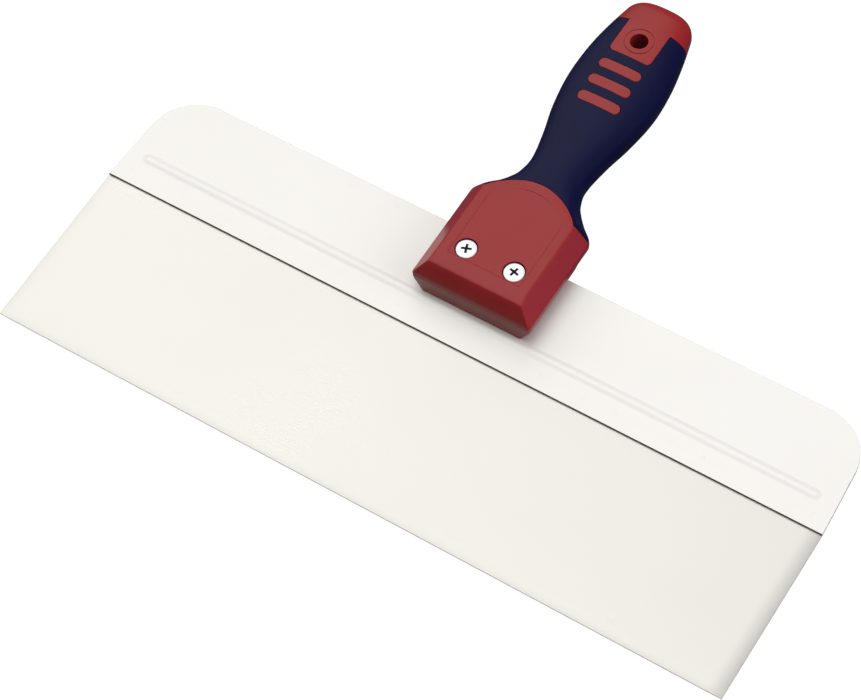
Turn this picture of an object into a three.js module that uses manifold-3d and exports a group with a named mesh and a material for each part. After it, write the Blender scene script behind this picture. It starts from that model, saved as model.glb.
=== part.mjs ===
// Drywall taping knife: a wide spring-steel blade, a spot-welded backing plate with a pressed bead,
// and a two-shot handle whose forked head is clamped through both sheets by two screws.
//
// Frame used while modelling, in millimetres: X across the blade, 0 at mid-width; Y from the
// working edge (0) up the handle; Z out of the front, 0 at the front of the backing plate.
// The exported group is moved so that its origin is the bottom centre of the whole knife.
import * as THREE from 'three';
import { mergeVertices } from 'three/addons/utils/BufferGeometryUtils.js';
import Module from 'manifold-3d';

const wasm = await Module();
wasm.setup();

// ---- driving dimensions -------------------------------------------------------------------
const BLADE_WIDTH = 304.8;
const BLADE_HEIGHT = 116;
const BLADE_THICK = 0.5;
const PLATE_THICK = 0.9;
const PLATE_EDGE_Y = 70.7;
const SHEET_SIDE_LEAN = 1.5;
const SHEET_CORNER_R = 19.5;

const BEAD_Y = 83.3;
const BEAD_WIDTH = 5.2;
const BEAD_HEIGHT = 0.55;
const BEAD_END_MARGIN = 7;
const WELD_R = 1.15;
const WELD_DEPTH = 0.12;
const WELD_LOWER_Y = 76.2;
const WELD_UPPER_Y = 112;
const WELD_LOWER_X = [-146, -101, -82, -25, 22, 35, 53, 66, 89, 102, 146];
const WELD_UPPER_X = [-68, -48, 47, 130];

const KNIFE_LENGTH = 228.7;
const HEAD_LOW_Y = 85.7;
const HEAD_BACK_Z = -5;
const HEAD_FRONT_Z = 16.5;
const HEAD_WIDEST_Z = 9;
const HEAD_SIDE_LOW_Z = 6.2;
const HEAD_HALF_AT_PLATE = 21.7;
const HEAD_HALF_WIDEST = 25.2;
const HEAD_HALF_FRONT = 19.3;
const HEAD_BEVEL_RUN = 4.8;
const HEAD_CORNER_R = 1.5;
const EDGE_ROUND = 0.8;
const BLEND_START_Y = 122;
const BLEND_END_Y = 149;

const GRIP_SQUARENESS = 2.5;
const BUTT_ROUND = 6.2;
// [y, value] pairs along the handle: half-width, mid-height above the plate, half-thickness
const HALF_WIDTH = [
  [127.2, 25.2], [130, 24], [133.5, 20], [137.5, 16.3], [141.5, 13.6], [148, 12], [160, 13.9],
  [172, 16.9], [186, 18.8], [200, 18.4], [213, 16.3], [228.7, 12.5],
];
const MID_HEIGHT = [[126, 6.3], [148, 8.9], [170, 10.6], [190, 11.4], [210, 13], [228.7, 14.2]];
const HALF_THICK = [[126, 10.3], [148, 8.3], [170, 8.6], [190, 10], [210, 8.9], [228.7, 6.9]];

const SLEEVE_THICK = 3;
const SLEEVE_START_Y = 128.3;
const TONGUE_HALF = 18.6;
const TONGUE_TOP_Y = 137.6;
const CAP_START_Y = 216;
const TAB_HALF = 8.7;
const TAB_START_Y = 200;
const TAB_CORNER_R = 2;
const BAR_LENGTH = 17.6;
const BAR_HEIGHT = 4.05;
const BAR_Y = [178, 185.8, 193.6];
const FIT_GAP = 0.3;

const HANG_HOLE_Y = 207.9;
const HANG_HOLE_R = 3.5;
const HANG_RING_R = 5.8;
const GROOVE_DEPTH = 0.35;
const GROOVE_WIDTH = 0.45;
const PANEL_HALF = 15.5;
const PANEL_LOW_Y = 96;
const PANEL_SIDE_Y = 126.6;
const PANEL_TOP_Y = 133.7;

const SCREW_X = 10.15;
const SCREW_Y = 100.8;
const SCREW_HEAD_R = 3.9;
const SCREW_HEAD_THICK = 2.2;
const SCREW_SINK = 0.25;
const SCREW_DOME = 0.2;
const SCREW_SHANK_R = 2;
const SCREW_LENGTH = 14;
const RECESS_R = 4.4;
const CROSS_LENGTH = 4.1;
const CROSS_WIDTH = 0.95;
const CROSS_DEPTH = 1.5;
const SCREW_TURN = [0.35, -0.24];
const NUT_FLANGE_R = 4.2;
const NUT_FLANGE_THICK = 1.6;
const NUT_BARREL_R = 2.9;
const NUT_TOP_Z = 11;
const NUT_BORE_R = 2.25;
const NUT_SLOT_WIDTH = 1.1;
const NUT_SLOT_DEPTH = 0.8;

const FAR = 400;
const ROUND_SIDES = 40;

// ---- materials ----------------------------------------------------------------------------
const material = (color, roughness, metalness) =>
  new THREE.MeshStandardMaterial({ color, roughness, metalness });
const bladeSteel = material(0xe9e6df, 0.28, 1);
const plateSteel = material(0xf0eee8, 0.25, 1);
const redPlastic = material(0x9c3436, 0.38, 0);
const navyRubber = material(0x20224a, 0.55, 0);
const nickel = material(0xe6e6e6, 0.25, 1);

// ---- solids: conversion between three.js geometry and manifold ---------------------------
function solid(geometry) {
  const bare = geometry.clone();
  bare.deleteAttribute('normal');
  bare.deleteAttribute('uv');
  const merged = mergeVertices(bare.index ? bare.toNonIndexed() : bare, 1e-4);
  const mesh = new wasm.Mesh({
    numProp: 3,
    vertProperties: new Float32Array(merged.attributes.position.array),
    triVerts: new Uint32Array(merged.index.array),
  });
  return new wasm.Manifold(mesh);
}

function geometryOf(manifold) {
  const { vertProperties, triVerts } = manifold.getMesh();
  const geometry = new THREE.BufferGeometry();
  geometry.setAttribute('position', new THREE.BufferAttribute(new Float32Array(vertProperties), 3));
  geometry.setIndex(new THREE.BufferAttribute(new Uint32Array(triVerts), 1));
  return geometry;
}

const union = (solids) => solids.reduce((sum, next) => sum.add(next));

function node(name, manifold, surface) {
  const geometry = geometryOf(manifold).toNonIndexed();
  geometry.computeVertexNormals();
  const mesh = new THREE.Mesh(geometry, surface);
  mesh.name = name;
  return mesh;
}

function prism(shape, lowZ, highZ, curveSegments = 10) {
  const geometry = new THREE.ExtrudeGeometry(shape, {
    depth: highZ - lowZ,
    bevelEnabled: false,
    curveSegments,
  });
  return solid(geometry.translate(0, 0, lowZ));
}

function box(halfX, lowY, highY, lowZ, highZ) {
  const geometry = new THREE.BoxGeometry(2 * halfX, highY - lowY, highZ - lowZ);
  return solid(geometry.translate(0, (lowY + highY) / 2, (lowZ + highZ) / 2));
}

function turned(profile, x, y, sides = ROUND_SIDES) {
  const points = profile.map(([radius, z]) => new THREE.Vector2(radius, z));
  const geometry = new THREE.LatheGeometry(points, sides).rotateX(Math.PI / 2);
  return solid(geometry.translate(x, y, 0));
}

const cylinder = (radius, lowZ, highZ, x, y) =>
  turned([[0, lowZ], [radius, lowZ], [radius, highZ], [0, highZ]], x, y);

// ---- sheet metal ---------------------------------------------------------------------------
function sheetShape(lowY) {
  const half = BLADE_WIDTH / 2;
  const leanHalf = half - SHEET_SIDE_LEAN;
  const cornerY = BLADE_HEIGHT - SHEET_CORNER_R;
  const shape = new THREE.Shape();
  shape.moveTo(-half, lowY);
  shape.lineTo(half, lowY);
  if (lowY < PLATE_EDGE_Y) shape.lineTo(half, PLATE_EDGE_Y);
  shape.lineTo(leanHalf, cornerY);
  shape.absarc(leanHalf - SHEET_CORNER_R, cornerY, SHEET_CORNER_R, 0, Math.PI / 2);
  shape.absarc(SHEET_CORNER_R - leanHalf, cornerY, SHEET_CORNER_R, Math.PI / 2, Math.PI);
  if (lowY < PLATE_EDGE_Y) shape.lineTo(-half, PLATE_EDGE_Y);
  return shape;
}

const screwHoles = (radius, lowZ, highZ) =>
  union([-SCREW_X, SCREW_X].map((x) => cylinder(radius, lowZ, highZ, x, SCREW_Y)));

function bladeSheet() {
  const sheet = prism(sheetShape(0), -PLATE_THICK - BLADE_THICK, -PLATE_THICK, 12);
  return sheet.subtract(screwHoles(NUT_BARREL_R + FIT_GAP, -FAR, FAR));
}

// A long low ridge with round ends and a soft foot, rooted below baseZ so that it joins or cuts cleanly.
function bead(baseZ) {
  const halfWidth = BEAD_WIDTH / 2;
  const halfRun = BLADE_WIDTH / 2 - BEAD_END_MARGIN - halfWidth;
  const profile = [[1, -0.45], [1, 0], [0.8, 0.15], [0.55, 0.62], [0.3, 0.92], [0.08, 1]];
  const sides = 22;
  const level = ([spread, rise]) => Array.from({ length: sides }, (_, i) => {
    const angle = 2 * Math.PI * (i / sides);
    const x = Math.sign(Math.cos(angle)) * halfRun + spread * halfWidth * Math.cos(angle);
    return [x, BEAD_Y + spread * halfWidth * Math.sin(angle), baseZ + BEAD_HEIGHT * rise];
  });
  return loft(profile.map(level).reverse());
}

function weldDents() {
  const radius = (WELD_R ** 2 + WELD_DEPTH ** 2) / (2 * WELD_DEPTH);
  const cap = Array.from({ length: 4 }, (_, i) => {
    const t = Math.asin(WELD_R / radius) * (i / 3);
    return [radius * Math.sin(t), radius - WELD_DEPTH - radius * Math.cos(t)];
  });
  const dent = (x, y) => turned([...cap, [WELD_R, 1], [0, 1]], x, y, 12);
  const lower = WELD_LOWER_X.map((x) => dent(x, WELD_LOWER_Y));
  const upper = WELD_UPPER_X.map((x) => dent(x, WELD_UPPER_Y));
  return union([...lower, ...upper]);
}

function backingPlate() {
  const flat = prism(sheetShape(PLATE_EDGE_Y), -PLATE_THICK, 0, 12);
  const pressed = flat.add(bead(0)).subtract(bead(-PLATE_THICK));
  return pressed.subtract(weldDents()).subtract(screwHoles(NUT_BARREL_R + FIT_GAP, -FAR, FAR));
}

// ---- handle: one outer shape, split between the hard core and the soft sleeve ---------------
// Smooth curve through [y, value] pairs, flat outside them.
function along(pairs, y) {
  const last = pairs.length - 1;
  if (y <= pairs[0][0]) return pairs[0][1];
  if (y >= pairs[last][0]) return pairs[last][1];
  const i = pairs.findIndex(([at]) => at > y) - 1;
  const slope = (k) => {
    const a = pairs[Math.max(k - 1, 0)];
    const b = pairs[Math.min(k + 1, last)];
    return k === 0 ? 0 : (b[1] - a[1]) / (b[0] - a[0]);
  };
  const span = pairs[i + 1][0] - pairs[i][0];
  const t = (y - pairs[i][0]) / span;
  const from = pairs[i][1] * (2 * t ** 3 - 3 * t ** 2 + 1) + pairs[i + 1][1] * (3 * t ** 2 - 2 * t ** 3);
  return from + span * (slope(i) * (t ** 3 - 2 * t ** 2 + t) + slope(i + 1) * (t ** 3 - t ** 2));
}

const smoothstep = (t) => t * t * (3 - 2 * t);
const clamp01 = (t) => Math.min(Math.max(t, 0), 1);
const SIDE_POINTS = 12;

// Half of the head's section at y, from the back centre round to the front centre.
function headHalf(y) {
  const fromEnd = y - HEAD_LOW_Y;
  const run = clamp01(fromEnd / HEAD_BEVEL_RUN);
  const climb = run * (1.25 - 0.25 * run);
  const front = HEAD_WIDEST_Z + EDGE_ROUND + (HEAD_FRONT_Z - HEAD_WIDEST_Z - EDGE_ROUND) * climb;
  const corner = Math.max(HEAD_CORNER_R - fromEnd, 0);
  const inset = HEAD_CORNER_R - Math.sqrt(HEAD_CORNER_R ** 2 - corner ** 2);
  const top = HEAD_HALF_WIDEST + (HEAD_HALF_FRONT - HEAD_HALF_WIDEST) * climb;
  const shoulder = along(HALF_WIDTH, y) - HEAD_HALF_WIDEST;
  const side = (half) => half - inset + shoulder;
  const edge = EDGE_ROUND * climb;
  return [
    [0, HEAD_BACK_Z],
    [side(HEAD_HALF_AT_PLATE) / 2, HEAD_BACK_Z],
    [side(HEAD_HALF_AT_PLATE) - EDGE_ROUND, HEAD_BACK_Z],
    [side(HEAD_HALF_AT_PLATE) - EDGE_ROUND / 3, HEAD_BACK_Z + EDGE_ROUND / 3],
    [side(HEAD_HALF_AT_PLATE), HEAD_BACK_Z + EDGE_ROUND],
    [side(HEAD_HALF_AT_PLATE), 0],
    [side(HEAD_HALF_WIDEST), HEAD_SIDE_LOW_Z],
    [side(HEAD_HALF_WIDEST), HEAD_WIDEST_Z - EDGE_ROUND / 2],
    [side(HEAD_HALF_WIDEST) - edge / 3, HEAD_WIDEST_Z + EDGE_ROUND / 3],
    [side((HEAD_HALF_WIDEST + top) / 2), (HEAD_WIDEST_Z + front) / 2],
    [side(top) + edge / 2, front - EDGE_ROUND / 2],
    [side(top) - EDGE_ROUND, front],
    [0, front],
  ];
}

// Half of the grip's section at y: a squarish oval.
function gripHalf(y) {
  const fromEnd = Math.max(BUTT_ROUND - (KNIFE_LENGTH - y), 0);
  const roundOff = BUTT_ROUND - Math.sqrt(BUTT_ROUND ** 2 - fromEnd ** 2);
  const halfWidth = along(HALF_WIDTH, y) - roundOff;
  const halfThick = along(HALF_THICK, y) - roundOff * 0.75;
  return Array.from({ length: SIDE_POINTS + 1 }, (_, i) => {
    const angle = Math.PI * (i / SIDE_POINTS - 0.5);
    const x = Math.abs(Math.cos(angle)) ** (2 / GRIP_SQUARENESS);
    const z = Math.sign(Math.sin(angle)) * Math.abs(Math.sin(angle)) ** (2 / GRIP_SQUARENESS);
    const tiny = i === 0 || i === SIDE_POINTS;
    return [tiny ? 0 : halfWidth * x, along(MID_HEIGHT, y) + halfThick * z];
  });
}

function handleHalf(y) {
  const share = smoothstep(clamp01((y - BLEND_START_Y) / (BLEND_END_Y - BLEND_START_Y)));
  const head = headHalf(y);
  return gripHalf(y).map(([x, z], i) => [
    x * share + head[i][0] * (1 - share),
    z * share + head[i][1] * (1 - share),
  ]);
}

// The full ring of points at y, drawn in by an inset that leaves the sleeve's thickness.
function ring(y, inset) {
  const half = handleHalf(y).map(([x, z]) => [Math.max(x - inset, 0), z]);
  const lowZ = half[0][1];
  const highZ = half[SIDE_POINTS][1];
  const squeeze = (z) => (z - (lowZ + highZ) / 2) * (1 - 2 * inset / (highZ - lowZ)) + (lowZ + highZ) / 2;
  const right = half.map(([x, z]) => [x, y, squeeze(z)]);
  const left = right.slice(1, SIDE_POINTS).reverse().map(([x, at, z]) => [-x, at, z]);
  return [...right, ...left];
}

function loft(rings) {
  const count = rings[0].length;
  const corners = [];
  const triangle = (a, b, c) => corners.push(...a, ...b, ...c);
  for (let r = 0; r + 1 < rings.length; r += 1) {
    for (let i = 0; i < count; i += 1) {
      const j = (i + 1) % count;
      triangle(rings[r][i], rings[r + 1][j], rings[r][j]);
      triangle(rings[r][i], rings[r + 1][i], rings[r + 1][j]);
    }
  }
  const first = rings[0];
  const last = rings[rings.length - 1];
  for (let i = 0; i < count / 2; i += 1) {
    const [a, b, c, d] = [i, i + 1, count - 1 - i, (count - i) % count];
    capQuad(triangle, first, [a, b, c, d]);
    capQuad(triangle, last, [d, c, b, a]);
  }
  const geometry = new THREE.BufferGeometry();
  geometry.setAttribute('position', new THREE.BufferAttribute(new Float32Array(corners), 3));
  return solid(geometry);
}

function capQuad(triangle, points, [a, b, c, d]) {
  if (b !== c) triangle(points[a], points[b], points[c]);
  if (a !== d) triangle(points[a], points[c], points[d]);
}

function stations(lowY, highY, step) {
  const count = Math.ceil((highY - lowY) / step);
  return Array.from({ length: count + 1 }, (_, i) => lowY + (highY - lowY) * (i / count));
}

function outerShape() {
  const bevelEnd = HEAD_LOW_Y + HEAD_BEVEL_RUN;
  const buttStart = KNIFE_LENGTH - BUTT_ROUND;
  const butt = [0, 0.35, 0.6, 0.78, 0.9, 0.97, 1].map((t) => buttStart + BUTT_ROUND * t);
  const levels = [
    ...[0, 0.06, 0.22, 0.5, 0.9, HEAD_CORNER_R, 3].map((t) => HEAD_LOW_Y + t),
    bevelEnd,
    BLEND_START_Y,
    ...stations(BLEND_START_Y + 2, 143, 2.2),
    ...stations(146, buttStart - 3, 4.4),
    ...butt,
  ];
  return loft(levels.map((y) => ring(y, 0)));
}

const tang = (gap) =>
  loft(stations(SLEEVE_START_Y - 2, CAP_START_Y + 2, 7).map((y) => ring(y, SLEEVE_THICK - gap)));

// Everything that the sleeve leaves bare on the front and the back.
function bareRegions(gap) {
  const headBlock = box(FAR, 0, SLEEVE_START_Y + gap, -FAR, FAR);
  const cap = box(FAR, CAP_START_Y - gap, FAR, -FAR, FAR);
  const tab = prism(tabShape(gap), -FAR, FAR, 4);
  const bars = BAR_Y.map((y) => prism(barShape(y, gap), -FAR, FAR, 6));
  return union([headBlock, prism(tongueShape(gap), -FAR, FAR, 16), cap, tab, ...bars]);
}

function tongueShape(gap) {
  const rise = TONGUE_TOP_Y - SLEEVE_START_Y;
  const radius = (TONGUE_HALF ** 2 + rise ** 2) / (2 * rise);
  const centreY = TONGUE_TOP_Y - radius;
  const spring = Math.asin((SLEEVE_START_Y - centreY) / (radius + gap));
  const shape = new THREE.Shape();
  shape.moveTo(0, SLEEVE_START_Y - 5);
  shape.absarc(0, centreY, radius + gap, spring, Math.PI - spring);
  return shape;
}

function tabShape(gap) {
  const half = TAB_HALF + gap;
  const low = TAB_START_Y - gap;
  const corner = TAB_CORNER_R;
  const shape = new THREE.Shape();
  shape.absarc(half - corner, low + corner, corner, -Math.PI / 2, 0);
  shape.lineTo(half, CAP_START_Y + 5);
  shape.lineTo(-half, CAP_START_Y + 5);
  shape.absarc(corner - half, low + corner, corner, Math.PI, 1.5 * Math.PI);
  return shape;
}

function barShape(y, gap) {
  const radius = BAR_HEIGHT / 2;
  const reach = BAR_LENGTH / 2 - radius;
  const shape = new THREE.Shape();
  shape.absarc(reach, y, radius + gap, -Math.PI / 2, Math.PI / 2);
  shape.absarc(-reach, y, radius + gap, Math.PI / 2, 1.5 * Math.PI);
  return shape;
}

function panelShape(inset) {
  const half = PANEL_HALF - inset;
  const rise = PANEL_TOP_Y - PANEL_SIDE_Y;
  const radius = (PANEL_HALF ** 2 + rise ** 2) / (2 * rise);
  const centreY = PANEL_TOP_Y - radius;
  const spring = Math.acos(half / (radius - inset));
  const shape = new THREE.Shape();
  shape.moveTo(-half, PANEL_LOW_Y + inset);
  shape.lineTo(half, PANEL_LOW_Y + inset);
  shape.absarc(0, centreY, radius - inset, spring, Math.PI - spring);
  return shape;
}

function panelGroove() {
  const low = HEAD_FRONT_Z - GROOVE_DEPTH;
  return prism(panelShape(0), low, FAR, 12).subtract(prism(panelShape(GROOVE_WIDTH), -FAR, FAR + 1, 12));
}

function hangRing(frontZ) {
  const outer = cylinder(HANG_RING_R, frontZ - GROOVE_DEPTH, FAR, 0, HANG_HOLE_Y);
  return outer.subtract(cylinder(HANG_RING_R - GROOVE_WIDTH, -FAR, FAR + 1, 0, HANG_HOLE_Y));
}

function sheetSlot() {
  const room = 0.05;
  return box(FAR, 0, BLADE_HEIGHT + FIT_GAP, -PLATE_THICK - BLADE_THICK - room, room);
}

function clampHoles() {
  const recess = screwHoles(RECESS_R, HEAD_FRONT_Z - SCREW_SINK - SCREW_HEAD_THICK, FAR);
  const shank = screwHoles(SCREW_SHANK_R + FIT_GAP, -FAR, FAR);
  const barrel = screwHoles(NUT_BARREL_R + FIT_GAP, -FAR, NUT_TOP_Z + FIT_GAP);
  const flange = screwHoles(NUT_FLANGE_R + FIT_GAP, -FAR, HEAD_BACK_Z + NUT_FLANGE_THICK + 0.1);
  return union([recess, shank, barrel, flange]);
}

function handlePieces() {
  const outer = outerShape();
  const frontZ = along(MID_HEIGHT, HANG_HOLE_Y) + along(HALF_THICK, HANG_HOLE_Y);
  const hangHole = cylinder(HANG_HOLE_R, -FAR, FAR, 0, HANG_HOLE_Y);
  const bare = outer.intersect(bareRegions(0)).add(tang(0).intersect(outer));
  const cuts = [hangHole, hangRing(frontZ), panelGroove(), sheetSlot(), clampHoles()];
  const core = bare.subtract(union(cuts));
  const sleeve = outer.subtract(bareRegions(FIT_GAP)).subtract(tang(FIT_GAP));
  return { core, sleeve };
}

// ---- clamp screws and their barrel nuts ----------------------------------------------------
function crossRecess(x, topZ, turn) {
  const bar = new THREE.BoxGeometry(CROSS_LENGTH, CROSS_WIDTH, CROSS_DEPTH);
  const taper = (geometry) => {
    const position = geometry.attributes.position;
    for (let i = 0; i < position.count; i += 1) {
      if (position.getZ(i) < 0) position.setX(i, position.getX(i) * 0.45);
    }
    return geometry;
  };
  const arm = (angle) =>
    solid(taper(bar.clone()).rotateZ(turn + angle).translate(x, SCREW_Y, topZ - CROSS_DEPTH / 2 + 0.1));
  return arm(0).add(arm(Math.PI / 2));
}

function clampScrew(x, turn) {
  const rimZ = HEAD_FRONT_Z - SCREW_SINK;
  const underZ = rimZ - SCREW_HEAD_THICK;
  const tipZ = underZ - SCREW_LENGTH;
  const body = turned([
    [0, tipZ], [SCREW_SHANK_R - 0.4, tipZ], [SCREW_SHANK_R, tipZ + 0.5], [SCREW_SHANK_R, underZ],
    [SCREW_HEAD_R, underZ], [SCREW_HEAD_R, rimZ - 0.4], [SCREW_HEAD_R * 0.9, rimZ],
    [SCREW_HEAD_R * 0.5, rimZ + SCREW_DOME * 0.7], [0, rimZ + SCREW_DOME],
  ], x, SCREW_Y);
  return body.subtract(crossRecess(x, rimZ + SCREW_DOME, turn));
}

function barrelNut(x) {
  const faceZ = HEAD_BACK_Z + 0.1;
  const floorZ = faceZ + NUT_FLANGE_THICK;
  const body = turned([
    [0, faceZ], [NUT_FLANGE_R - 0.3, faceZ], [NUT_FLANGE_R, faceZ + 0.3], [NUT_FLANGE_R, floorZ],
    [NUT_BARREL_R, floorZ], [NUT_BARREL_R, NUT_TOP_Z], [NUT_BORE_R, NUT_TOP_Z],
    [NUT_BORE_R, floorZ], [0, floorZ],
  ], x, SCREW_Y);
  const slot = new THREE.BoxGeometry(4 * NUT_FLANGE_R, NUT_SLOT_WIDTH, 2 * NUT_SLOT_DEPTH);
  return body.subtract(solid(slot.translate(x, SCREW_Y, faceZ)));
}

// ---- assembly ------------------------------------------------------------------------------
const { core, sleeve } = handlePieces();

const blades = new THREE.Group();
blades.add(node('blade', bladeSheet(), bladeSteel));
blades.add(node('backing_plate', backingPlate(), plateSteel));

const handle = new THREE.Group();
handle.add(node('handle_core', core, redPlastic));
handle.add(node('grip_sleeve', sleeve, navyRubber));

const clamp = new THREE.Group();
['left', 'right'].forEach((side, i) => {
  const x = (2 * i - 1) * SCREW_X;
  clamp.add(node(`clamp_screw_${side}`, clampScrew(x, SCREW_TURN[i]), nickel));
  clamp.add(node(`barrel_nut_${side}`, barrelNut(x), nickel));
});

const knife = new THREE.Group();
knife.add(blades, handle, clamp);
knife.position.set(0, -KNIFE_LENGTH / 2, -HEAD_BACK_Z);

export default knife;
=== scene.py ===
"""Drywall taping knife: fine surfaces, materials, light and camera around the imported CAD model."""
import math

import bpy
from mathutils import Matrix, Vector


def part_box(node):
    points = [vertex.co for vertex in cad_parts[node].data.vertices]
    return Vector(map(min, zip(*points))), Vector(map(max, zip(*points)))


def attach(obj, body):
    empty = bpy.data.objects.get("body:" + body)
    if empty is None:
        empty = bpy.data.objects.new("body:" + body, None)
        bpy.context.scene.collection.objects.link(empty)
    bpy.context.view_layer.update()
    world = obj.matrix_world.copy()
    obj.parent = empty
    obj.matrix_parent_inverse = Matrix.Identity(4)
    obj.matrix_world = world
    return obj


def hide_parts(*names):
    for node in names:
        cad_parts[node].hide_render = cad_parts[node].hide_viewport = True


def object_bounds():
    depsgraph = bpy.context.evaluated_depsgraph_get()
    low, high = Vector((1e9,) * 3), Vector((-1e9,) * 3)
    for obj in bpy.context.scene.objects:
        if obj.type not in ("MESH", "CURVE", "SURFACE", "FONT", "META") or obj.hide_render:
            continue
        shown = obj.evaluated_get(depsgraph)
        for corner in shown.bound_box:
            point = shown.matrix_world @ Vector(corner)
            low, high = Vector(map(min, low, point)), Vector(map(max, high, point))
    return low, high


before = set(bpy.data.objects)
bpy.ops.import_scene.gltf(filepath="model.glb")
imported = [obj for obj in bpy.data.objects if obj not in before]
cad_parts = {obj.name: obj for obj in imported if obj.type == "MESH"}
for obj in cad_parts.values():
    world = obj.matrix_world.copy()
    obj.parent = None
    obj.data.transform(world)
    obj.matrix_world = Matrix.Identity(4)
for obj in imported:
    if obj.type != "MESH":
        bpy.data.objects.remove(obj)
CAD_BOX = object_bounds()

# ---- driving dimensions, in millimetres ------------------------------------------------------
# X across the blade, Y from the working edge up the handle, Z out of the plate's front face.
BLADE_WIDTH = 304.8
BLADE_HEIGHT = 116.0
BLADE_THICK = 0.5
PLATE_THICK = 0.9
PLATE_EDGE_Y = 70.7
SHEET_SIDE_LEAN = 1.5
SHEET_CORNER_R = 19.5

BEAD_Y = 83.3
BEAD_WIDTH = 5.2
BEAD_HEIGHT = 0.5
BEAD_END_MARGIN = 7.0
WELD_R = 1.15
WELD_DEPTH = 0.12
WELD_LOWER_Y = 76.2
WELD_UPPER_Y = 112.0
WELD_LOWER_X = (-146, -101, -82, -25, 22, 35, 53, 66, 89, 102, 146)
WELD_UPPER_X = (-68, -48, 47, 130)

KNIFE_LENGTH = 228.7
HEAD_LOW_Y = 85.7
HEAD_BACK_Z = -5.0
HEAD_FRONT_Z = 16.5
HEAD_WIDEST_Z = 9.0
HEAD_SIDE_LOW_Z = 6.2
HEAD_HALF_AT_PLATE = 21.7
HEAD_HALF_WIDEST = 25.2
HEAD_HALF_FRONT = 19.3
HEAD_BEVEL_RUN = 4.8
HEAD_CORNER_R = 1.5
HEAD_EDGE_R = 0.9
HEAD_EDGE_DROP = 1.3
HEAD_EDGE_RUN = 0.6
HEAD_ROLL_START_Y = 96.5
HEAD_ROLL = 0.6
HEAD_BEVEL_BULGE = 0.25
HEAD_BEVEL_SOFTNESS = 0.3
HEAD_BEVEL_REACH = 12.0
BLEND_START_Y = 122.0
BLEND_END_Y = 149.0

GRIP_SQUARENESS = 2.5
BUTT_ROUND = 6.2
BUTT_DEPTH_SHARE = 0.75
# The grip's profile, as (Y, value) pairs.
HALF_WIDTH = (
    (127.2, 25.2), (130, 24), (133.5, 20), (137.5, 16.3), (141.5, 13.6), (148, 12), (160, 13.9),
    (172, 16.9), (186, 18.8), (200, 18.4), (213, 16.3), (228.7, 12.5),
)
MID_HEIGHT = ((126, 6.3), (148, 8.9), (170, 10.6), (190, 11.4), (210, 13), (228.7, 14.2))
HALF_THICK = ((126, 10.3), (148, 8.3), (170, 8.6), (190, 10), (210, 8.9), (228.7, 6.9))

SLEEVE_THICK = 3.0
SLEEVE_START_Y = 128.3
TONGUE_HALF = 18.6
TONGUE_TOP_Y = 137.6
CAP_START_Y = 216.0
TAB_HALF = 8.7
TAB_START_Y = 200.0
TAB_CORNER_R = 2.0
BAR_LENGTH = 17.6
BAR_HEIGHT = 4.05
BAR_Y = (178.0, 185.8, 193.6)
SEAM = 0.22

HANG_HOLE_Y = 207.9
HANG_HOLE_R = 3.5
HANG_RING_R = 5.8
GROOVE_DEPTH = 0.12
RING_DEPTH = 0.38
GROOVE_WIDTH = 0.35
PANEL_HALF = 15.5
PANEL_LOW_Y = 96.0
PANEL_SIDE_Y = 126.6
PANEL_TOP_Y = 133.7

SCREW_X = 10.15
SCREW_Y = 100.8
SCREW_HEAD_R = 3.9
SCREW_SINK = 0.25
RECESS_R = 4.4
RECESS_DEPTH = 2.5
CROSS_HALF_LONG = 2.1
CROSS_HALF_WIDE = 0.48
CROSS_DEPTH = 1.7
SCREW_TURN = (0.35, -0.24)
NUT_FLANGE_R = 4.2
NUT_SLOT_HALF = 0.55
NUT_SLOT_DEPTH = 0.8

# Longer than the knife, for cutters that run right through.
FAR = 400.0

# ---- camera ------------------------------------------------------------------------------------
CAMERA_AIM = (-4.8, 65.7, 0.0)
CAMERA_AZIMUTH = math.radians(39.22)
CAMERA_ELEVATION = math.radians(59.4)
CAMERA_ROLL = math.radians(-8.11)
CAMERA_DISTANCE = 1049.8
CAMERA_LENS = 121.25
LIGHT_DISTANCE = 1.8

# ---- from the knife's own millimetres to the frame's metres ------------------------------------
EDGE_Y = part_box("blade")[0][1]
FRONT_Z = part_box("blade")[1][2] + PLATE_THICK / 1000
FLOOR_Z = CAD_BOX[0][2]


def place(x, y, z):
    return Vector((x / 1000, EDGE_Y + y / 1000, FRONT_Z + z / 1000))


def clamp01(t):
    return min(max(t, 0.0), 1.0)


def smoothstep(t):
    return t * t * (3 - 2 * t)


def spread(low, high, step):
    count = max(1, math.ceil((high - low) / step))
    return [low + (high - low) * i / count for i in range(count + 1)]


# ---- meshes ------------------------------------------------------------------------------------
def new_object(name, points, faces):
    mesh = bpy.data.meshes.new(name)
    mesh.from_pydata([place(*p) for p in points], [], faces)
    piece = bpy.data.objects.new(name, mesh)
    bpy.context.scene.collection.objects.link(piece)
    return piece


def finish_surface(piece, sharp_degrees=28):
    mesh = piece.data
    mesh.polygons.foreach_set("use_smooth", [True] * len(mesh.polygons))
    mesh.set_sharp_from_angle(angle=math.radians(sharp_degrees))


def boolean(piece, cutter, operation):
    modifier = piece.modifiers.new(operation, "BOOLEAN")
    modifier.object = cutter
    modifier.operation = operation
    modifier.solver = "MANIFOLD"
    evaluated = piece.evaluated_get(bpy.context.evaluated_depsgraph_get())
    mesh = bpy.data.meshes.new_from_object(evaluated)
    piece.modifiers.clear()
    old = piece.data
    piece.data = mesh
    mesh.name = piece.name
    bpy.data.meshes.remove(old)
    discard(cutter)
    return piece


def discard(piece):
    mesh = piece.data
    bpy.data.objects.remove(piece)
    bpy.data.meshes.remove(mesh)


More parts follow.
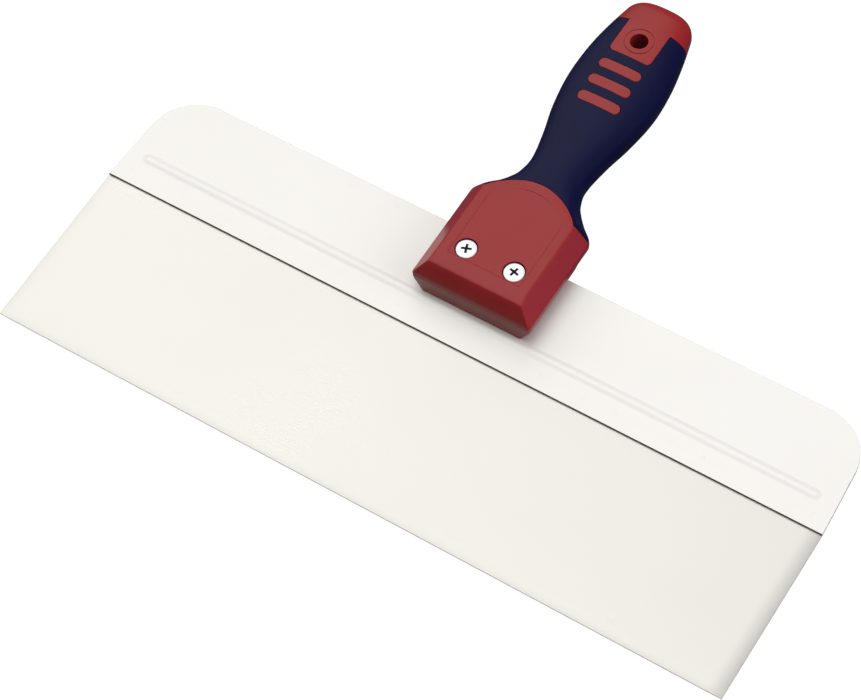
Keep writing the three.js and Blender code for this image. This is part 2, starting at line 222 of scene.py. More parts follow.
def loft(name, rings):
    """A closed skin over rings that are symmetric about X = 0, point 0 at the back centre."""
    count = len(rings[0])
    points = [p for ring in rings for p in ring]
    faces = []
    for r in range(len(rings) - 1):
        for i in range(count):
            j = (i + 1) % count
            a, b = r * count, (r + 1) * count
            faces.append((a + i, b + i, b + j, a + j))
    last = (len(rings) - 1) * count
    for i in range(count // 2):
        quad = [i, i + 1, count - 1 - i, (count - i) % count]
        quad = list(dict.fromkeys(quad))
        faces.append(quad)
        faces.append([last + k for k in reversed(quad)])
    return new_object(name, points, faces)


def prism(name, outline, low_z, high_z):
    count = len(outline)
    points = [(x, y, low_z) for x, y in outline] + [(x, y, high_z) for x, y in outline]
    sides = [(i, (i + 1) % count, (i + 1) % count + count, i + count) for i in range(count)]
    faces = [tuple(reversed(range(count))), tuple(range(count, 2 * count))]
    return new_object(name, points, faces + sides)


def turned(name, profile, x, y, sides=64):
    """A lathe body about a Z axis: the profile starts and ends on the axis, from low to high."""
    points = [(x, y, profile[0][1])]
    rows = profile[1:-1]
    for radius, z in rows:
        for k in range(sides):
            angle = 2 * math.pi * k / sides
            points.append((x + radius * math.cos(angle), y + radius * math.sin(angle), z))
    points.append((x, y, profile[-1][1]))
    top = len(points) - 1
    faces = []
    for k in range(sides):
        n = (k + 1) % sides
        faces.append((0, 1 + n, 1 + k))
        faces.append((top, top - sides + k, top - sides + n))
        for r in range(len(rows) - 1):
            a, b = 1 + r * sides, 1 + (r + 1) * sides
            faces.append((a + k, a + n, b + n, b + k))
    return new_object(name, points, faces)


def cylinder(name, radius, low_z, high_z, x, y):
    return turned(name, [(0, low_z), (radius, low_z), (radius, high_z), (0, high_z)], x, y)


def block(name, half_x, low_y, high_y, low_z, high_z):
    outline = [(-half_x, low_y), (half_x, low_y), (half_x, high_y), (-half_x, high_y)]
    return prism(name, outline, low_z, high_z)


def arc(cx, cy, radius, start, end, steps):
    angles = [start + (end - start) * i / steps for i in range(steps + 1)]
    return [(cx + radius * math.cos(a), cy + radius * math.sin(a)) for a in angles]


# ---- sheet metal -------------------------------------------------------------------------------
def sheet_half_width(y):
    half = BLADE_WIDTH / 2
    corner_y = BLADE_HEIGHT - SHEET_CORNER_R
    if y <= corner_y:
        return half - SHEET_SIDE_LEAN * clamp01((y - PLATE_EDGE_Y) / (corner_y - PLATE_EDGE_Y))
    rise = min(y - corner_y, SHEET_CORNER_R)
    return half - SHEET_SIDE_LEAN - SHEET_CORNER_R + math.sqrt(SHEET_CORNER_R**2 - rise**2)


def corner_rows():
    low = BLADE_HEIGHT - SHEET_CORNER_R
    return [low + SHEET_CORNER_R * math.sin(math.pi / 2 * i / 22) for i in range(1, 23)]


def near(centre, reach, step):
    return spread(centre - reach, centre + reach, step)


def sheet(name, rows, columns, height, thick, edge):
    """A closed sheet on a grid: rows are Y, columns are fractions of the half-width.

    height(x, y) lifts the front face, and the outermost cells are drawn in by the edge radius.
    """
    across = len(columns)
    points = []
    for side in (0.0, -thick):
        for j, y in enumerate(rows):
            for i, part in enumerate(columns):
                x = part * sheet_half_width(y)
                z = side + (height(x, y) if side == 0.0 else 0.0)
                at_rim = j in (0, len(rows) - 1) or i in (0, across - 1)
                inward = edge if at_rim else 0.0
                points.append((x, y, z - inward if side == 0.0 else z + inward))
    back = len(rows) * across
    faces = []
    for j in range(len(rows) - 1):
        for i in range(across - 1):
            a = j * across + i
            faces.append((a, a + 1, a + 1 + across, a + across))
            faces.append(tuple(back + k for k in (a, a + across, a + 1 + across, a + 1)))
    rim = list(range(across))
    rim += [j * across + across - 1 for j in range(1, len(rows))]
    rim += [(len(rows) - 1) * across + i for i in range(across - 2, -1, -1)]
    rim += [j * across for j in range(len(rows) - 2, 0, -1)]
    for k, a in enumerate(rim):
        b = rim[(k + 1) % len(rim)]
        faces.append((back + a, back + b, b, a))
    return new_object(name, points, faces)


def lifted(points, z):
    for vertex in points.data.vertices:
        vertex.co.z += z / 1000
    return points


def build_blade():
    rim = 0.08
    corner = corner_rows()
    rows = [0, rim] + spread(4, BLADE_HEIGHT - SHEET_CORNER_R, 4) + corner[:-1] + [BLADE_HEIGHT]
    inner = 1 - 2 * rim / BLADE_WIDTH
    columns = [-1] + spread(-inner, inner, 0.04) + [1]
    blade = sheet("blade_sheet", rows, columns, lambda x, y: 0.0, BLADE_THICK, 0.04)
    return lifted(blade, -PLATE_THICK)


def plate_height(x, y):
    run = BLADE_WIDTH / 2 - BEAD_END_MARGIN - BEAD_WIDTH / 2
    away = math.hypot(max(abs(x) - run, 0.0), y - BEAD_Y) / (BEAD_WIDTH / 2)
    bead = BEAD_HEIGHT * smoothstep(clamp01(1.12 * (1 - away)))
    row_y, row_x = WELD_LOWER_Y, WELD_LOWER_X
    if y > (WELD_LOWER_Y + WELD_UPPER_Y) / 2:
        row_y, row_x = WELD_UPPER_Y, WELD_UPPER_X
    gap = min(math.hypot(x - at, y - row_y) for at in row_x) / WELD_R
    dent = WELD_DEPTH * (1 - gap**2) ** 2 if gap < 1 else 0.0
    return bead - dent


def build_plate():
    rim = 0.15
    half = BLADE_WIDTH / 2
    rows = [PLATE_EDGE_Y, PLATE_EDGE_Y + rim, 72.5, 74]
    rows += near(WELD_LOWER_Y, 1.4, 0.35) + [79] + near(BEAD_Y, BEAD_WIDTH / 2 + 0.2, 0.22)
    rows += spread(87, BLADE_HEIGHT - SHEET_CORNER_R, 3.5)
    rows += [y for y in corner_rows() if abs(y - WELD_UPPER_Y) > 1.5]
    rows += near(WELD_UPPER_Y, 1.4, 0.35)
    columns = [-1, -1 + rim / half, 1 - rim / half, 1] + spread(-0.995, 0.995, 0.02)
    for at in WELD_LOWER_X:
        columns += [x / half for x in near(at, 1.4, 0.35)]
    for at in WELD_UPPER_X:
        columns += [x / sheet_half_width(WELD_UPPER_Y) for x in near(at, 1.4, 0.35)]
    for sign in (-1, 1):
        columns += [sign * x / half for x in spread(half - 10.5, half - 6, 0.3)]
    return sheet("plate_sheet", tidy(rows, 0.05), tidy(columns, 0.0004), plate_height, PLATE_THICK, 0.1)


def tidy(values, least):
    """Sorted values, without any that is closer than least to the one before."""
    kept = []
    for value in sorted(values):
        if not kept or value - kept[-1] > least:
            kept.append(value)
    return kept


# ---- handle ------------------------------------------------------------------------------------
def along(pairs, y):
    """A smooth curve through (y, value) pairs, flat outside them."""
    last = len(pairs) - 1
    if y <= pairs[0][0]:
        return pairs[0][1]
    if y >= pairs[last][0]:
        return pairs[last][1]
    i = max(k for k in range(last) if pairs[k][0] <= y)

    def slope(k):
        a, b = pairs[max(k - 1, 0)], pairs[min(k + 1, last)]
        return 0.0 if k == 0 else (b[1] - a[1]) / (b[0] - a[0])

    span = pairs[i + 1][0] - pairs[i][0]
    t = (y - pairs[i][0]) / span
    ease = smoothstep(t)
    value = pairs[i][1] * (1 - ease) + pairs[i + 1][1] * ease
    return value + span * (slope(i) * (t**3 - 2 * t**2 + t) + slope(i + 1) * (t**3 - t**2))


def soft_min(a, b, softness):
    low = min(a, b)
    return low - softness * math.log(math.exp((low - a) / softness) + math.exp((low - b) / softness))


def round_in(distance, radius):
    """How far a quarter round has drawn in at a distance from the end."""
    short = max(radius - distance, 0.0)
    return radius - math.sqrt(max(radius**2 - short**2, 0.0))


FLAT_STEPS = 8
ROUND_STEPS = 6


def rounded_path(corners, radii):
    """Points along a polyline whose inner corners are rounded, the same number for any shape."""
    points = []
    start = Vector(corners[0])
    for i in range(1, len(corners)):
        here = Vector(corners[i])
        if i == len(corners) - 1:
            points += [start.lerp(here, k / FLAT_STEPS) for k in range(FLAT_STEPS + 1)]
            break
        back = (start - here).normalized()
        onward = (Vector(corners[i + 1]) - here).normalized()
        room = 0.45 * min((start - here).length, (Vector(corners[i + 1]) - here).length)
        reach = min(radii[i], room)
        enter, leave = here + back * reach, here + onward * reach
        points += [start.lerp(enter, k / FLAT_STEPS) for k in range(FLAT_STEPS)]
        for k in range(ROUND_STEPS):
            t = k / ROUND_STEPS
            points.append(enter * (1 - t) ** 2 + here * 2 * t * (1 - t) + leave * t**2)
        start = leave
    return points


def head_front(y):
    """The height of the head's front: a bulging bevel at the low end, then a slight roll."""
    from_end = y - HEAD_LOW_Y
    if from_end >= HEAD_BEVEL_REACH:
        return HEAD_FRONT_Z
    run = from_end / HEAD_BEVEL_RUN
    rise = run * (1 + HEAD_BEVEL_BULGE - HEAD_BEVEL_BULGE * min(run, 2.0))
    bevel = HEAD_WIDEST_Z + (HEAD_FRONT_Z - HEAD_WIDEST_Z) * rise
    roll_run = HEAD_ROLL_START_Y - HEAD_LOW_Y - HEAD_BEVEL_RUN
    roll = HEAD_ROLL * clamp01((HEAD_ROLL_START_Y - y) / roll_run) ** 2
    return soft_min(bevel, HEAD_FRONT_Z - roll, HEAD_BEVEL_SOFTNESS)


def head_half(y):
    from_end = y - HEAD_LOW_Y
    front = head_front(y)
    climb = (front - HEAD_WIDEST_Z) / (HEAD_FRONT_Z - HEAD_WIDEST_Z)
    top = HEAD_HALF_WIDEST + (HEAD_HALF_FRONT - HEAD_HALF_WIDEST) * climb
    shift = along(HALF_WIDTH, y) - HEAD_HALF_WIDEST - round_in(from_end, HEAD_CORNER_R)
    low = HEAD_BACK_Z + round_in(from_end, HEAD_EDGE_R) * 0.6
    drop = HEAD_EDGE_DROP * max(1 - from_end / HEAD_EDGE_RUN, 0.0) ** 2
    widest = HEAD_WIDEST_Z - drop
    front = max(front - drop, widest + 0.02)
    corners = [
        (0.0, low),
        (HEAD_HALF_AT_PLATE + shift, low),
        (HEAD_HALF_AT_PLATE + shift, 0.0),
        (HEAD_HALF_WIDEST + shift, HEAD_SIDE_LOW_Z),
        (HEAD_HALF_WIDEST + shift, widest),
        (top + shift, front),
        (0.0, front),
    ]
    return rounded_path(corners, (0, HEAD_EDGE_R, 0.8, 1.6, 0.5, HEAD_EDGE_R, 0))


def grip_angles():
    """Where each point of the head's path lands on the grip's oval, as angles from back to front."""
    stops = (-90, -62, -54, -36, -30, -12, -6, 4, 10, 40, 50, 90)
    angles = []
    for k in range(11):
        steps = ROUND_STEPS if k % 2 else FLAT_STEPS
        angles += [stops[k] + (stops[k + 1] - stops[k]) * i / steps for i in range(steps)]
    return [math.radians(a) for a in angles + [90]]


GRIP_ANGLES = grip_angles()


def grip_half(y):
    inward = round_in(KNIFE_LENGTH - y, BUTT_ROUND)
    half_width = along(HALF_WIDTH, y) - inward
    half_thick = along(HALF_THICK, y) - inward * BUTT_DEPTH_SHARE
    power = 2 / GRIP_SQUARENESS
    points = []
    for angle in GRIP_ANGLES:
        x = max(math.cos(angle), 0.0) ** power
        z = math.copysign(abs(math.sin(angle)) ** power, math.sin(angle))
        points.append(Vector((half_width * x, along(MID_HEIGHT, y) + half_thick * z)))
    points[0].x = points[-1].x = 0.0
    return points


def handle_ring(y, inset=0.0):
    share = smoothstep(clamp01((y - BLEND_START_Y) / (BLEND_END_Y - BLEND_START_Y)))
    half = [h.lerp(g, share) for h, g in zip(head_half(y), grip_half(y))]
    low, high = half[0].y, half[-1].y
    middle, shrink = (low + high) / 2, 1 - 2 * inset / (high - low)
    right = [(max(p.x - inset, 0.0), y, middle + (p.y - middle) * shrink) for p in half]
    right[0] = (0.0, *right[0][1:])
    right[-1] = (0.0, *right[-1][1:])
    left = [(-x, at, z) for x, at, z in reversed(right[1:-1])]
    return right + left


def handle_stations():
    rows = [HEAD_LOW_Y + d for d in (0, 0.03, 0.1, 0.2, 0.32, 0.45, 0.6, 1, 1.5, 2.1, 2.8, 3.4, 3.8, 4.2)]
    rows += spread(HEAD_LOW_Y + 4.4, HEAD_LOW_Y + 6.4, 0.2) + spread(92.5, 97, 0.5)
    rows += spread(100, BLEND_START_Y, 4)
    rows += spread(BLEND_START_Y, KNIFE_LENGTH - BUTT_ROUND - 0.5, 0.9)
    rows += [KNIFE_LENGTH - BUTT_ROUND * (1 - math.sin(math.pi / 2 * i / 16)) for i in range(17)]
    return tidy(rows, 0.01)


def outer_shape(name):
    return loft(name, [handle_ring(y) for y in handle_stations()])


def tang(name, inset):
    rows = spread(SLEEVE_START_Y - 2, CAP_START_Y + 2, 3)
    return loft(name, [handle_ring(y, inset) for y in rows])


def tongue_outline(gap):
    rise = TONGUE_TOP_Y - SLEEVE_START_Y
    radius = (TONGUE_HALF**2 + rise**2) / (2 * rise)
    centre_y = TONGUE_TOP_Y - radius
    spring = math.asin((SLEEVE_START_Y - centre_y) / (radius + gap))
    foot = [(TONGUE_HALF - 4, SLEEVE_START_Y - 4), (4 - TONGUE_HALF, SLEEVE_START_Y - 4)]
    return arc(0, centre_y, radius + gap, spring, math.pi - spring, 48) + foot[::-1]


def tab_outline(gap):
    half, low, corner = TAB_HALF + gap, TAB_START_Y - gap, TAB_CORNER_R
    high = CAP_START_Y + 5
    right = arc(half - corner, low + corner, corner, -math.pi / 2, 0, 10)
    left = arc(corner - half, low + corner, corner, math.pi, 1.5 * math.pi, 10)
    return right + [(half, high), (-half, high)] + left


def bar_outline(y, gap):
    radius = BAR_HEIGHT / 2
    reach = BAR_LENGTH / 2 - radius
    right = arc(reach, y, radius + gap, -math.pi / 2, math.pi / 2, 18)
    left = arc(-reach, y, radius + gap, math.pi / 2, 1.5 * math.pi, 18)
    return right + left


def panel_outline(inset):
    rise = PANEL_TOP_Y - PANEL_SIDE_Y
    radius = (PANEL_HALF**2 + rise**2) / (2 * rise)
    centre_y = PANEL_TOP_Y - radius
    half = PANEL_HALF - inset
    spring = math.acos(half / (radius - inset))
    curve = arc(0, centre_y, radius - inset, spring, math.pi - spring, 40)
    return [(-half, PANEL_LOW_Y + inset), (half, PANEL_LOW_Y + inset)] + curve


def bare_region(name, gap):
    """What the sleeve leaves bare: the head with its tongue, the bars, the tab and the cap."""
    region = block(name, FAR, 0, SLEEVE_START_Y + gap, -FAR, FAR)
    parts = [block("cap", FAR, CAP_START_Y - gap, FAR, -FAR, FAR)]
    parts.append(prism("tongue", tongue_outline(gap), -FAR, FAR))
    parts.append(prism("tab", tab_outline(gap), -FAR, FAR))
    parts += [prism("bar", bar_outline(y, gap), -FAR, FAR) for y in BAR_Y]
    for part in parts:
        boolean(region, part, "UNION")
    return region


def groove_ring(outer, inner, low_z):
    ring = prism("groove", outer, low_z, FAR)
    return boolean(ring, prism("inside", inner, low_z - 1, FAR + 1), "DIFFERENCE")


def circle(radius, y):
    return arc(0, y, radius, 0, 2 * math.pi * 63 / 64, 63)


def build_core():
    core = outer_shape("core_moulding")
    boolean(core, bare_region("bare", 0.0), "INTERSECT")
    boolean(core, tang("tang", SLEEVE_THICK), "UNION")
    front_z = along(MID_HEIGHT, HANG_HOLE_Y) + along(HALF_THICK, HANG_HOLE_Y)
    slot_low, slot_high = -PLATE_THICK - BLADE_THICK - 0.05, 0.05
    cutters = [
        cylinder("hole", HANG_HOLE_R, -FAR, FAR, 0, HANG_HOLE_Y),
        groove_ring(circle(HANG_RING_R, HANG_HOLE_Y), circle(HANG_RING_R - GROOVE_WIDTH, HANG_HOLE_Y),
                    front_z - RING_DEPTH),
        groove_ring(panel_outline(0), panel_outline(GROOVE_WIDTH), HEAD_FRONT_Z - GROOVE_DEPTH),
        block("slot", FAR, 0, BLADE_HEIGHT + 0.3, slot_low, slot_high),
    ]
    for x in (-SCREW_X, SCREW_X):
        cutters.append(cylinder("recess", RECESS_R, HEAD_FRONT_Z - RECESS_DEPTH, FAR, x, SCREW_Y))
        cutters.append(cylinder("seat", NUT_FLANGE_R + 0.15, -FAR, HEAD_BACK_Z + 1.8, x, SCREW_Y))
    for cutter in cutters:
        boolean(core, cutter, "DIFFERENCE")
    return core


def build_sleeve():
    sleeve = outer_shape("sleeve_skin")
    boolean(sleeve, bare_region("bare", SEAM), "DIFFERENCE")
    return boolean(sleeve, tang("hollow", SLEEVE_THICK - 0.05), "DIFFERENCE")


# ---- clamp screws and barrel nuts --------------------------------------------------------------
def cross_wing(name, x, top_z, turn):
    """One tapered blade of the cross recess, its walls leaning in towards the tip."""
    cosine, sine = math.cos(turn), math.sin(turn)
    points = []
    for z, long_share, wide_share in ((0.4, 1.12, 1.15), (-CROSS_DEPTH, 0.34, 0.55)):
        for sx, sy in ((-1, -1), (1, -1), (1, 1), (-1, 1)):
            a = sx * CROSS_HALF_LONG * long_share
            b = sy * CROSS_HALF_WIDE * wide_share
            points.append((x + a * cosine - b * sine, SCREW_Y + a * sine + b * cosine, top_z + z))
    faces = [(0, 1, 2, 3), (4, 7, 6, 5)]
    faces += [(i, i + 4, (i + 1) % 4 + 4, (i + 1) % 4) for i in range(4)]
    return new_object(name, points, faces)


def build_screw(side, x, turn):
    rim = HEAD_FRONT_Z - SCREW_SINK
    under = rim - 2.2
    radius = SCREW_HEAD_R
    dome = [(radius * math.cos(a), rim - 0.3 + 0.45 * math.sin(a)) for a in
            (math.radians(d) for d in (6, 16, 28, 42, 56, 70, 82))]
    profile = [(0, under - 3), (1.7, under - 3), (2, under - 2.6), (2, under), (radius - 0.05, under),
               (radius, under + 0.1), (radius, rim - 0.3), *dome, (0, rim + 0.16)]
    screw = turned(f"screw_{side}", profile, x, SCREW_Y, 72)
    use_materials(screw, (NICKEL, RECESS_SHADE))
    for angle in (turn, turn + math.pi / 2):
        wing = cross_wing("wing", x, rim + 0.15, angle)
        # The cross's walls take the second material: painted shade, a near-black blue-green for the dark
        # inside of the recess.
        use_materials(wing, (NICKEL, RECESS_SHADE), 1)
        boolean(screw, wing, "DIFFERENCE")
    return screw


def build_nut(side, x):
    face = HEAD_BACK_Z + 0.1
    radius = NUT_FLANGE_R
    profile = [(0, face), (radius - 0.45, face), (radius - 0.18, face + 0.08), (radius, face + 0.3),
               (radius, face + 1.6), (2.9, face + 1.6), (2.9, face + 3), (0, face + 3)]
    nut = turned(f"nut_{side}", profile, x, SCREW_Y, 72)
    near_x, far_x = x - 2 * radius, x + 2 * radius
    low_y, high_y = SCREW_Y - NUT_SLOT_HALF, SCREW_Y + NUT_SLOT_HALF
    outline = [(near_x, low_y), (far_x, low_y), (far_x, high_y), (near_x, high_y)]
    return boolean(nut, prism("slot", outline, face - 1, face + NUT_SLOT_DEPTH), "DIFFERENCE")


# ---- materials ---------------------------------------------------------------------------------
def colour_socket(sockets, name):
    return next(s for s in sockets if s.name == name and s.type == "RGBA")


def set_colour(mix_node, name, colour):
    colour_socket(mix_node.inputs, name).default_value = (*colour, 1)


class Nodes:
    """A short way to build one node material."""

    def __init__(self, name, **sockets):
        self.material = bpy.data.materials.new(name)
        self.material.use_nodes = True
        self.tree = self.material.node_tree
        self.shader = self.tree.nodes["Principled BSDF"]
        for socket, value in sockets.items():
            self.shader.inputs[socket.replace("_", " ")].default_value = value

    def add(self, kind, **settings):
        node = self.tree.nodes.new(kind)
        for key, value in settings.items():
            if key in node.inputs:
                node.inputs[key].default_value = value
            else:
                setattr(node, key, value)
        return node

    def link(self, source, target):
        self.tree.links.new(source, target)

    def noise(self, scale, stretch=(1, 1, 1), detail=3.0, roughness=0.5, turn=0.0):
        place_node = self.add("ShaderNodeTexCoord")
        mapping = self.add("ShaderNodeMapping", Scale=stretch, Rotation=(0, 0, turn))
        noise = self.add("ShaderNodeTexNoise", Scale=scale, Detail=detail, Roughness=roughness)
        self.link(place_node.outputs["Object"], mapping.inputs["Vector"])
        self.link(mapping.outputs["Vector"], noise.inputs["Vector"])
        return noise.outputs["Fac"]

    def ranged(self, value, low, high, start=0.3, end=0.7):
        node = self.add("ShaderNodeMapRange")
        node.inputs["From Min"].default_value = start
        node.inputs["From Max"].default_value = end
        node.inputs["To Min"].default_value = low
        node.inputs["To Max"].default_value = high
        self.link(value, node.inputs["Value"])
        return node.outputs["Result"]

    def blend(self, value, first, second):
        node = self.add("ShaderNodeMix", data_type="RGBA")
        set_colour(node, "A", first)
        set_colour(node, "B", second)
        self.link(value, node.inputs["Factor"])
        return colour_socket(node.outputs, "Result")

    def add_values(self, first, second):
        node = self.add("ShaderNodeMath", operation="ADD")
        self.link(first, node.inputs[0])
        self.link(second, node.inputs[1])
        return node.outputs["Value"]

    def bump(self, value, strength, distance):
        node = self.add("ShaderNodeBump", Strength=strength, Distance=distance)
        self.link(value, node.inputs["Height"])
        self.link(node.outputs["Normal"], self.shader.inputs["Normal"])


def steel(name, base, tint, rough_low, rough_high, metallic):
    """Rolled spring steel: fine grain along the blade, soft smears and a few long scratches."""
    m = Nodes(name, Metallic=metallic)
    grain = m.noise(60, stretch=(1, 45, 45), detail=4)
    smear = m.noise(9, stretch=(1, 1.6, 1), detail=2)
    scratch = m.noise(40, stretch=(0.6, 30, 30), detail=2, turn=math.radians(24))
    m.link(m.blend(m.ranged(smear, 0, 1), base, tint), m.shader.inputs["Base Color"])
    rough = m.add_values(m.ranged(grain, rough_low, rough_high), m.ranged(smear, -0.02, 0.03))
    m.link(rough, m.shader.inputs["Roughness"])
    m.bump(m.add_values(grain, m.ranged(scratch, 0, 0.5, 0.62, 0.72)), 0.03, 0.00002)
    return m.material


def shaded_cut_edge():
    """The plate's sheared lower edge, coloured near-black with faint streaks: painted shade for the gap
    line between plate and blade.
    """
    m = Nodes("shaded_cut_edge", Metallic=0.6)
    streak = m.noise(300, stretch=(6, 1, 1), detail=2)
    m.link(m.blend(m.ranged(streak, 0, 1), (0.085, 0.080, 0.070), (0.130, 0.122, 0.108)),
           m.shader.inputs["Base Color"])
    m.link(m.ranged(streak, 0.5, 0.7), m.shader.inputs["Roughness"])
    return m.material


def hard_plastic():
    """Semi-gloss moulded red: faint flow clouds, fine orange-peel and rubbed-dull patches."""
    m = Nodes("red_moulding", IOR=1.43)
    cloud = m.noise(38, detail=2)
    rubbed = m.noise(140, detail=4)
    peel = m.noise(900, detail=2)
    m.link(m.blend(m.ranged(cloud, 0, 1, 0.1, 0.9), RED_DEEP, RED_LIGHT), m.shader.inputs["Base Color"])
    m.link(m.ranged(rubbed, 0.27, 0.36, 0.1, 0.9), m.shader.inputs["Roughness"])
    m.bump(peel, 0.06, 0.0001)
    return m.material


def soft_rubber():
    """Satin soft grip: a very fine spark texture, with handling marks that change the sheen."""
    m = Nodes("navy_rubber", Specular_IOR_Level=0.2)
    spark = m.noise(2600, detail=2)
    handled = m.noise(55, detail=3)
    m.link(m.blend(m.ranged(handled, 0, 1), NAVY_DEEP, NAVY_LIGHT), m.shader.inputs["Base Color"])
    m.link(m.ranged(handled, 0.42, 0.52), m.shader.inputs["Roughness"])
    m.bump(spark, 0.12, 0.00008)
    return m.material


def plated(name, base, rough, metallic):
    m = Nodes(name, Metallic=metallic)
    fine = m.noise(700, detail=3)
    darker = tuple(c * 0.92 for c in base)
    m.link(m.blend(m.ranged(fine, 0, 1), base, darker), m.shader.inputs["Base Color"])
    m.link(m.ranged(fine, rough, rough + 0.08), m.shader.inputs["Roughness"])
    m.bump(fine, 0.05, 0.0001)
    return m.material


RED_DEEP = (0.195, 0.0095, 0.0105)
RED_LIGHT = (0.218, 0.0125, 0.0135)
NAVY_DEEP = (0.0016, 0.0020, 0.022)
NAVY_LIGHT = (0.0024, 0.0030, 0.028)

BLADE_STEEL = steel("blade_steel", (0.801, 0.783, 0.740), (0.793, 0.775, 0.732), 0.28, 0.31, 0.75)
PLATE_STEEL = steel("plate_steel", (0.672, 0.658, 0.634), (0.658, 0.644, 0.620), 0.40, 0.44, 0.3)
# The plate's cut edge is near-black: painted shade for the gap line between plate and blade.
SHADED_CUT_EDGE = shaded_cut_edge()
RED = hard_plastic()
NAVY = soft_rubber()
NICKEL = plated("nickel", (0.90, 0.90, 0.90), 0.3, 0.5)
# Near-black blue-green for the walls of the screws' cross recess: painted shade for the dark inside of
# the recess.
RECESS_SHADE = plated("recess_painted_shade", (0.045, 0.060, 0.070), 0.55, 0.2)


def use_materials(piece, materials, index=0):
    piece.data.materials.clear()
    for material in materials:
        piece.data.materials.append(material)
    for face in piece.data.polygons:
        face.material_index = index


def paint_cut_edge_shade(plate):
    """The faces of the plate's lower edge, which look towards the working edge, get the near-black
    cut-edge colour: painted shade for the gap line between plate and blade.
    """
    limit = EDGE_Y + (PLATE_EDGE_Y + 0.5) / 1000
    for face in plate.data.polygons:
        face.material_index = 1 if face.normal.y < -0.5 and face.center.y < limit else 0


# ---- assembly ----------------------------------------------------------------------------------
def fit(piece, node, sharp_degrees=28):
    finish_surface(piece, sharp_degrees)
    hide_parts(node)
    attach(piece, "root")


def build_knife():
    blade = build_blade()
    use_materials(blade, (BLADE_STEEL,))
    fit(blade, "blade")
    plate = build_plate()
    use_materials(plate, (PLATE_STEEL, SHADED_CUT_EDGE))
    # Painted shade: the plate's lower edge faces take the near-black second material.
    paint_cut_edge_shade(plate)
    fit(plate, "backing_plate")
    core = build_core()
    use_materials(core, (RED,))
    fit(core, "handle_core")
    sleeve = build_sleeve()
    use_materials(sleeve, (NAVY,))
    fit(sleeve, "grip_sleeve")
    for i, side in enumerate(("left", "right")):
        x = (2 * i - 1) * SCREW_X
        fit(build_screw(side, x, SCREW_TURN[i]), f"clamp_screw_{side}")
        nut = build_nut(side, x)
        use_materials(nut, (NICKEL,))
        fit(nut, f"barrel_nut_{side}")


# ---- studio ------------------------------------------------------------------------------------
def build_floor():
    mesh = bpy.data.meshes.new("floor")
    half = 4.0
    corners = [(-half, -half), (half, -half), (half, half), (-half, half)]
    mesh.from_pydata([(x, y, FLOOR_Z) for x, y in corners], [], [(0, 1, 2, 3)])
    floor = bpy.data.objects.new("floor", mesh)
    bpy.context.scene.collection.objects.link(floor)
    m = Nodes("floor_paint", Roughness=0.9)
    m.shader.inputs["Base Color"].default_value = (0.12, 0.12, 0.12, 1)
    m.shader.inputs["Specular IOR Level"].default_value = 0.0
    m.shader.inputs["Emission Color"].default_value = (1, 1, 1, 1)
    m.shader.inputs["Emission Strength"].default_value = 0.96
    mesh.materials.append(m.material)
    floor.visible_glossy = False
    floor.visible_diffuse = False


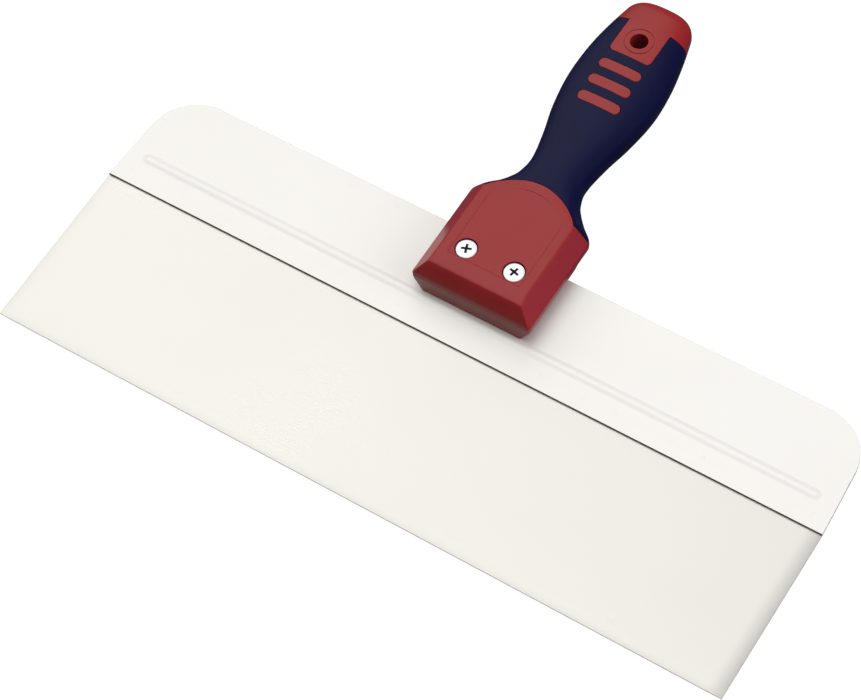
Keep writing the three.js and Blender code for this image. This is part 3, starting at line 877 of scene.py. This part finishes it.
def build_world():
    """A studio dome, white high at the back left, dark at the front horizon and grey below."""
    world = bpy.data.worlds.new("studio")
    bpy.context.scene.world = world
    world.use_nodes = True
    tree = world.node_tree
    background = tree.nodes["Background"]
    direction = tree.nodes.new("ShaderNodeTexCoord")
    facing = tree.nodes.new("ShaderNodeVectorMath")
    facing.operation = "DOT_PRODUCT"
    facing.inputs[1].default_value = Vector((-0.55, 0.20, 0.81)).normalized()
    ramp = tree.nodes.new("ShaderNodeValToRGB")
    stops = ((0.78, 0.09), (0.94, 0.76), (0.985, 1.0))
    ramp.color_ramp.elements.new(stops[1][0])
    for stop, (at, level) in zip(ramp.color_ramp.elements, stops):
        stop.position = at
        stop.color = (level, level * 0.995, level * 0.98, 1)
    to_unit = tree.nodes.new("ShaderNodeMapRange")
    to_unit.inputs["From Min"].default_value = -1.0
    height = tree.nodes.new("ShaderNodeSeparateXYZ")
    below = tree.nodes.new("ShaderNodeMapRange")
    below.inputs["From Min"].default_value = 0.05
    below.inputs["From Max"].default_value = -0.15
    ground = tree.nodes.new("ShaderNodeMix")
    ground.data_type = "RGBA"
    set_colour(ground, "B", (0.10, 0.10, 0.13))
    tree.links.new(direction.outputs["Generated"], facing.inputs[0])
    tree.links.new(direction.outputs["Generated"], height.inputs["Vector"])
    tree.links.new(facing.outputs["Value"], to_unit.inputs["Value"])
    tree.links.new(to_unit.outputs["Result"], ramp.inputs["Fac"])
    tree.links.new(height.outputs["Z"], below.inputs["Value"])
    tree.links.new(below.outputs["Result"], ground.inputs["Factor"])
    tree.links.new(ramp.outputs["Color"], colour_socket(ground.inputs, "A"))
    tree.links.new(colour_socket(ground.outputs, "Result"), background.inputs["Color"])
    background.inputs["Strength"].default_value = 1.06


def area_light(name, direction, size, energy, glossy=False):
    data = bpy.data.lights.new(name, "AREA")
    data.shape = "DISK"
    data.size = size
    data.energy = energy
    light = bpy.data.objects.new(name, data)
    towards = Vector(direction).normalized()
    light.location = towards * LIGHT_DISTANCE
    light.rotation_euler = towards.to_track_quat("Z", "Y").to_euler()
    light.visible_glossy = glossy
    bpy.context.scene.collection.objects.link(light)
    return light


def build_camera():
    data = bpy.data.cameras.new("camera")
    data.lens = CAMERA_LENS
    data.sensor_width = 36.0
    camera = bpy.data.objects.new("camera", data)
    flat = math.cos(CAMERA_ELEVATION)
    x, y = flat * math.sin(CAMERA_AZIMUTH), -flat * math.cos(CAMERA_AZIMUTH)
    back = Vector((x, y, math.sin(CAMERA_ELEVATION)))
    camera.location = place(*CAMERA_AIM) + back * CAMERA_DISTANCE / 1000
    level = back.to_track_quat("Z", "Y").to_matrix()
    camera.rotation_euler = (level @ Matrix.Rotation(CAMERA_ROLL, 3, "Z")).to_euler()
    bpy.context.scene.collection.objects.link(camera)
    bpy.context.scene.camera = camera


build_knife()
build_floor()
build_world()
area_light("key", (-0.65, 0.40, 0.95), 2.6, 25)
area_light("fill", (0.95, 0.15, 0.6), 1.4, 21)
area_light("top", (0.12, 0.10, 1.0), 1.6, 18)
window = area_light("window", (0.9, 0.39, 0.2), 0.9, 1.2, glossy=True)
window.data.color = (0.25, 0.35, 1.0)
build_camera()
bpy.context.scene.view_settings.view_transform = "Standard"
